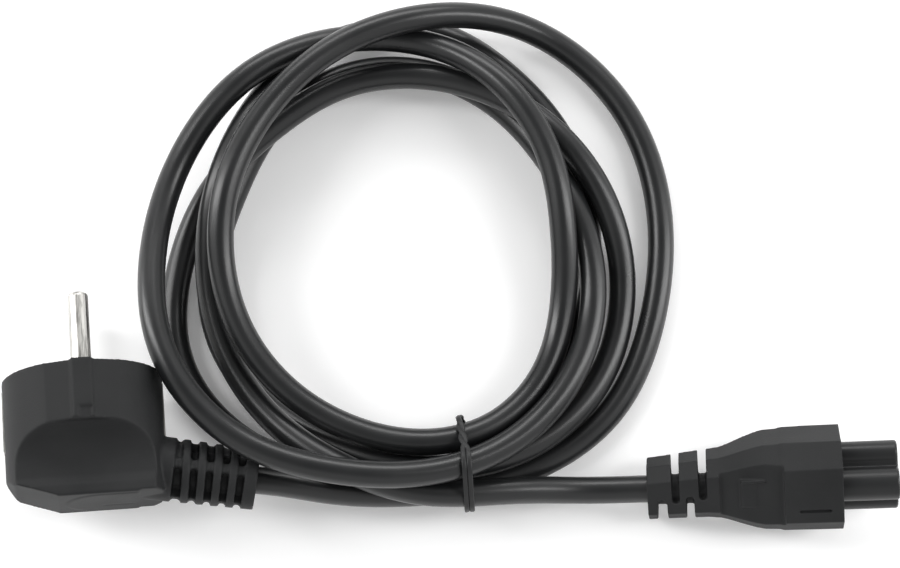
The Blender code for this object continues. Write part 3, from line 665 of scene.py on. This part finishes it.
def thumb_recess():
    """A shallow tray that slopes into the narrow side, deepest towards the shoulder."""
    start, end = THUMB_RECESS[0][0], THUMB_RECESS[-1][0]
    outline = [*THUMB_RECESS, (end, THROUGH), (start, THROUGH)]
    stand = Matrix(((1, 0, 0, 0), (0, 0, -1, 0), (0, 1, 0, 0), (0, 0, 0, 1)))
    return prism("thumb_recess", outline, -THROUGH, THROUGH, stand)


def connector(surface):
    rings = []
    for behind, share in CONNECTOR_STATIONS:
        drift = RELIEF_DRIFT * max(0.0, (behind - CONNECTOR_RELIEF_START) / CONNECTOR_RELIEF_LENGTH)
        rings.append([(-behind, y + drift, z) for y, z in connector_section(share, 6)])
    hull = loft("connector_hull", rings)
    slots = [slot(*row) for row in CONNECTOR_SLOTS]
    cut(hull, slots + [thumb_recess(), box("index_line", *INDEX_LINE)])
    last = CONNECTOR_STATIONS[-1][0]
    profile = [(CONNECTOR_CORE_RADIUS, -last), (CONNECTOR_CORE_RADIUS, -CONNECTOR_CORE_START)]
    core = turned("relief_core", profile, Matrix.Translation((0, RELIEF_DRIFT / 2, 0)) @ SIDEWAYS)
    pieces = [hull, core, box("thumb_pad", *THUMB_PAD), box("thumb_rib", *THUMB_RIB)]
    place = placed(CONNECTOR_AT, CONNECTOR_TURN)
    made = moulded("connector_shell", pieces, CONNECTOR_VOXEL, 2, place, surface)
    return stands_for(made, "connector_body")


def nose_outline(inset=0.0):
    """Two lobes at the flat side and a larger one above them, run anticlockwise."""
    right = arc((LOBE_OFFSET, LOBE_HEIGHT), LOBE_RADIUS - inset, -90, 100, 24)
    top = arc((0.0, CHIN_HEIGHT), CHIN_RADIUS - inset, -20, 200, 32)
    left = arc((-LOBE_OFFSET, LOBE_HEIGHT), LOBE_RADIUS - inset, 80, 270, 24)
    return right + top + left


def nose(surface):
    rings = [[(-NOSE_SEAT, y, z) for y, z in nose_outline()]]
    for degrees in range(0, 91, 15):
        turn = math.radians(degrees)
        along = NOSE_LENGTH - NOSE_ROUND * (1 - math.sin(turn))
        rings.append([(along, y, z) for y, z in nose_outline(NOSE_ROUND * (1 - math.cos(turn)))])
    body = loft("nose_core", rings)
    hole = [
        (CONTACT_HOLE_RADIUS, NOSE_LENGTH - CONTACT_HOLE_DEPTH), (CONTACT_HOLE_RADIUS, NOSE_LENGTH + PAST),
    ]
    tools = []
    for y, z in ((CONTACT_PITCH, LOBE_HEIGHT), (-CONTACT_PITCH, LOBE_HEIGHT), (0.0, CHIN_HEIGHT)):
        tools.append(turned("contact_hole", hole, Matrix.Translation((0, y, z)) @ SIDEWAYS, 32))
    cut(body, tools)
    made = moulded("nose_insert", [body], NOSE_VOXEL, 3, placed(CONNECTOR_AT, CONNECTOR_TURN), surface)
    return stands_for(made, "connector_nose")


# Cord


def spline_weights(points, count):
    """For count places evenly along a smooth curve through the points: the points' weights in each
    place and in its bend, and which point it is at."""
    along = np.r_[0.0, np.cumsum(np.linalg.norm(np.diff(points, axis=0), axis=1))]
    gap = np.diff(along)
    size = len(points)
    system, right = np.eye(size), np.zeros((size, size))
    for i in range(1, size - 1):
        system[i, i - 1:i + 2] = gap[i - 1], 2 * (gap[i - 1] + gap[i]), gap[i]
        right[i, i - 1:i + 2] = 6 / gap[i - 1], -6 / gap[i - 1] - 6 / gap[i], 6 / gap[i]
    bend = np.linalg.solve(system, right)
    at = np.linspace(0.0, along[-1], count)
    piece = np.clip(np.searchsorted(along, at) - 1, 0, size - 2)
    low = ((along[piece + 1] - at) / gap[piece])[:, None]
    high = 1 - low
    straight = low * np.eye(size)[piece] + high * np.eye(size)[piece + 1]
    curved = (low**3 - low) * bend[piece] + (high**3 - high) * bend[piece + 1]
    place = straight + curved * gap[piece][:, None]**2 / 6
    return place, low * bend[piece] + high * bend[piece + 1], np.interp(at, along, np.arange(size))


def coil_as_seen():
    """The turns' angles, where they are seen on the table, and their levels."""
    turns = COIL_START + COIL_STEP * np.arange(len(COIL_TURNS))
    distance, level = np.array(COIL_TURNS).T
    way = np.c_[np.cos(np.radians(turns)), np.sin(np.radians(turns))]
    return turns, np.array(COIL_MIDDLE) + distance[:, None] * way, level


def lowest_allowed(turn, last):
    """The height that the cord's middle keeps at each turn angle."""
    floor = np.full(len(turn), REST_FLOOR)
    for start, end, height in OVER_PLUG:
        floor[(turn > start) & (turn < end)] = height
    start, end, height = OVER_TIE
    floor[(turn % 360 > start) & (turn % 360 < end) & (turn < last)] = height
    return floor


def route_at_rest():
    """The route's points once the cord has settled: it bends stiffly, can't pass through itself or
    the floor, and lies where it is seen."""
    turns, seen, level = coil_as_seen()
    start, end = np.array(ROUTE_START), np.array(ROUTE_END)
    points = np.r_[start, np.c_[seen, REST_FLOOR + LEVEL_HEIGHT * level], end]
    fixed = points.copy()
    coil = slice(len(start), len(start) + len(turns))
    held = np.full(len(points), HELD)
    held[coil] = 0.0
    pull = held.copy()
    pull[coil] = [PULL_HIDDEN if any(a < turn < b for a, b in HIDDEN) else PULL for turn in turns]

    place, bend, number = spline_weights(points, REST_SAMPLES)
    step = np.linalg.norm(np.diff(place @ points, axis=0), axis=1).mean()
    lead = [turns[0] - COIL_STEP / 2] * len(start), [turns[-1] + COIL_STEP] * len(end)
    turn = np.interp(number, range(len(points)), np.r_[lead[0], turns, lead[1]])
    level = np.interp(turn, turns, level)
    first, second = np.triu_indices(REST_SAMPLES, int(5 * REST_APART / step))
    apart = (place @ points)[first] - (place @ points)[second]
    near = np.hypot(apart[:, 0], apart[:, 1]) < 3 * REST_APART
    first, second = first[near], second[near]
    above = np.sign(level[first] - level[second])
    floor = lowest_allowed(turn, turns[-1])
    weight = WEIGHT * step * place.sum(axis=0)

    for _ in range(REST_ROUNDS):
        line = place @ points
        tight = np.linalg.norm(bend @ points, axis=1) * TIGHT_BEND
        stiff = STIFFNESS * step * (bend.T * np.minimum(1 + tight**6, STIFFEST)) @ bend
        apart = line[first] - line[second]
        gap = np.linalg.norm(apart, axis=1)
        swapped = (np.hypot(apart[:, 0], apart[:, 1]) < SWAPPED_WITHIN) & (apart[:, 2] * above < 0)
        touch = (gap < REST_APART) | swapped
        way = apart[touch] / gap[touch][:, None]
        way[swapped[touch]] = np.c_[np.zeros((swapped.sum(), 2)), above[swapped]]
        against = place[first[touch]] - place[second[touch]]
        stiff += PUSH * step * against.T @ against
        shove = PUSH * step * REST_APART * against.T @ way
        low = line[:, 2] < floor
        ground = PUSH * step * place[low].T
        sight = fixed[:, :2].copy()
        sight[coil] += (np.array(EYE_FOOT) - seen) * points[coil, 2:] / EYE_HEIGHT
        plan = np.linalg.solve(
            stiff + np.diag(pull + INERTIA),
            shove[:, :2] + pull[:, None] * sight + INERTIA * points[:, :2],
        )
        height = np.linalg.solve(
            stiff + ground @ place[low] + np.diag(held + INERTIA),
            shove[:, 2] + ground @ floor[low] - weight + held * fixed[:, 2] + INERTIA * points[:, 2],
        )
        points = np.c_[plan, height]
    return points


def cord_line(count):
    """The cord's centreline, in metres."""
    if not route:
        route.extend(route_at_rest())
    place, _, _ = spline_weights(np.array(route), count)
    return place @ np.array(route) * MILLIMETRE


def tube(name, lines, radius, surface, closed=False, half_width=0.0, resolution=4):
    """One curve object with a tube along each line of points, round, or flat with a half width."""
    curve = bpy.data.curves.new(name, "CURVE")
    curve.dimensions = "3D"
    curve.bevel_depth = radius
    curve.bevel_resolution = resolution
    curve.extrude = half_width
    curve.use_fill_caps = not closed
    for points in lines:
        line = curve.splines.new("POLY")
        line.points.add(len(points) - 1)
        for point, place in zip(line.points, points):
            point.co = (*place, 1.0)
        line.use_cyclic_u = closed
        line.use_smooth = True
    return add_object(name, curve, surface)


def cord(surface, carried):
    """The sheath from one strain relief to the other. Its carried argument is not used."""
    line = cord_line(CORD_SEEN_POINTS)
    ends = []
    for tip, inner in ((line[0], line[1]), (line[-1], line[-2])):
        ends.append(tip + (tip - inner) * CORD_INSIDE / np.linalg.norm(tip - inner))
    made = tube("cord_sheath", [[ends[0], *line, ends[1]]], CORD_RADIUS, surface, resolution=6)
    stands_for(made, "cord")


# Twist tie


def strands_through_tie():
    """Where the strands pass through the tie, as (across, height), and how far round each it keeps."""
    turn = math.radians(TIE_TURN)
    way = np.array([math.cos(turn), math.sin(turn), 0.0])
    across = np.array([-math.sin(turn), math.cos(turn), 0.0])
    offset = cord_line(TIE_LOOKS) - np.array(TIE_AT)
    beyond = np.abs(offset @ way) - TIE_HALF_WIDTH - TIE_EDGE_RADIUS
    beside = offset @ across
    clear = CORD_RADIUS + TIE_CLEARANCE
    near = (beyond < clear) & (np.abs(beside) < TIE_REACH)
    reach = np.sqrt(clear**2 - np.maximum(beyond[near], 0.0)**2)
    return np.c_[beside[near], offset[near][:, 2]], reach


def tie_outline(count):
    """A loop drawn tight round the strands, and the way out of it at each point."""
    centres, around = strands_through_tie()
    turns = np.radians(np.arange(0, 360, TIE_SIDE_STEP))
    ways = np.c_[np.cos(turns), np.sin(turns)]
    reach = (centres @ ways.T + around[:, None]).max(axis=0) + TIE_EDGE_RADIUS
    corners = []
    for i in range(len(turns)):
        j = (i + 1) % len(turns)
        corners.append(np.linalg.solve(ways[[i, j]], reach[[i, j]]))
    corners = np.array(corners + corners[:1])
    along = np.r_[0.0, np.cumsum(np.linalg.norm(np.diff(corners, axis=0), axis=1))]
    at = np.linspace(0.0, along[-1], count, endpoint=False)
    loop = np.c_[np.interp(at, along, corners[:, 0]), np.interp(at, along, corners[:, 1])]
    tangent = np.roll(loop, -1, axis=0) - np.roll(loop, 1, axis=0)
    outward = np.c_[tangent[:, 1], -tangent[:, 0]] / np.linalg.norm(tangent, axis=1)[:, None]
    return loop, outward


def tie_strand(phase):
    """One wire of the tie: side by side on the near half, twisted with the other on the far half."""
    loop, outward = tie_outline(TIE_SEEN_POINTS)
    far, high = loop.max(axis=0)
    twisted = np.clip((loop[:, 0] - far + TIE_TWIST_LENGTH) / TIE_TWIST_LENGTH, 0.0, 1.0)
    twisted *= np.clip((loop[:, 1] - TIE_TWIST_START * high) / (TIE_TWIST_RISE * high), 0.0, 1.0)
    turn = phase + TIE_TWISTS * 2 * math.pi * twisted
    aside = (TIE_STRAND_OFFSET - TIE_TWIST_RADIUS * twisted) * np.cos(turn) - TIE_LEAN * twisted
    lift = TIE_TWIST_RADIUS * twisted * (1 + np.sin(turn))
    place = loop + outward * lift[:, None]
    return np.c_[place, aside]


def twist_tie(surface):
    wires = [tie_strand(0.0), tie_strand(math.pi)]
    made = tube("tie_wires", wires, TIE_STRAND_RADIUS, surface, True, TIE_STRAND_HALF_WIDTH)
    made.location = TIE_AT
    made.rotation_euler = (math.radians(90), 0.0, math.radians(90 + TIE_TURN))
    return stands_for(made, "twist_tie")


# Studio


def softbox(name, place, size, power):
    lamp = bpy.data.lights.new(name, "AREA")
    lamp.shape = "RECTANGLE"
    lamp.size, lamp.size_y = size
    lamp.energy = power
    aim(add_object(name, lamp), place, LIGHT_AIM)


def sky():
    """A light tent: bright walls all round and a dimmer opening overhead."""
    world = bpy.data.worlds.new("studio")
    bpy.context.scene.world = world
    world.use_nodes = True
    tree = world.node_tree
    shade = tree.nodes["Background"]
    way = tree.nodes.new("ShaderNodeTexCoord")
    split = tree.nodes.new("ShaderNodeSeparateXYZ")
    ramp = tree.nodes.new("ShaderNodeValToRGB")
    tree.links.new(way.outputs["Generated"], split.inputs["Vector"])
    tree.links.new(split.outputs["Z"], ramp.inputs["Fac"])
    tree.links.new(ramp.outputs["Color"], shade.inputs["Color"])
    fill_ramp(ramp, [(height, (bright, bright, bright)) for height, bright in TENT])
    shade.inputs["Strength"].default_value = TENT_STRENGTH


def studio():
    """The tent, the softboxes and a white table that glows a little."""
    sky()
    for name, (place, size, power) in SOFTBOXES.items():
        softbox(name, place, size, power)
    graph = Graph("table_white")
    graph.set(Base_Color=(0.95, 0.95, 0.95, 1.0), Roughness=0.6)
    graph.set(Emission_Color=(1.0, 1.0, 1.0, 1.0), Emission_Strength=0.12)
    shape = bmesh.new()
    bmesh.ops.create_grid(shape, x_segments=1, y_segments=1, size=TABLE_HALF_SIZE)
    mesh_object("table", shape, graph.material)


def paint(name, surface):
    """Gives a solid that stays a better material."""
    node = nodes[name]
    node.data.materials.clear()
    node.data.materials.append(surface)


camera()
bpy.context.scene.view_settings.view_transform = "Standard"
moulding = plastic(
    "moulded_black", dark=(0.015, 0.0155, 0.016), light=(0.021, 0.0215, 0.022),
    shine=(0.52, 0.62), grain=0.00004, gloss=0.17,
)
sheath = plastic(
    "cord_black", dark=(0.008, 0.0085, 0.009), light=(0.012, 0.0125, 0.013),
    shine=(0.27, 0.35), grain=0.00002, gloss=0.5,
)
insert = plastic(
    "insert_black", dark=(0.014, 0.0145, 0.015), light=(0.018, 0.0185, 0.019),
    shine=(0.30, 0.38), grain=0.00001,
)
band = plastic(
    "tie_black", dark=(0.014, 0.0145, 0.015), light=(0.020, 0.0205, 0.021),
    shine=(0.36, 0.46), grain=0.00002,
)
plating = metal("nickel_plate", colour=(0.62, 0.61, 0.58), shine=(0.30, 0.42))
brass = metal("contact_brass", colour=(0.66, 0.55, 0.32), shine=(0.24, 0.36))

plug(moulding)
cord(sheath, [connector(moulding), nose(insert), twist_tie(band)])
for name in nodes:
    if name.startswith(("plug_pin", "earth_contact")):
        paint(name, plating)
    elif name.startswith("contact_sleeve"):
        paint(name, brass)

studio()
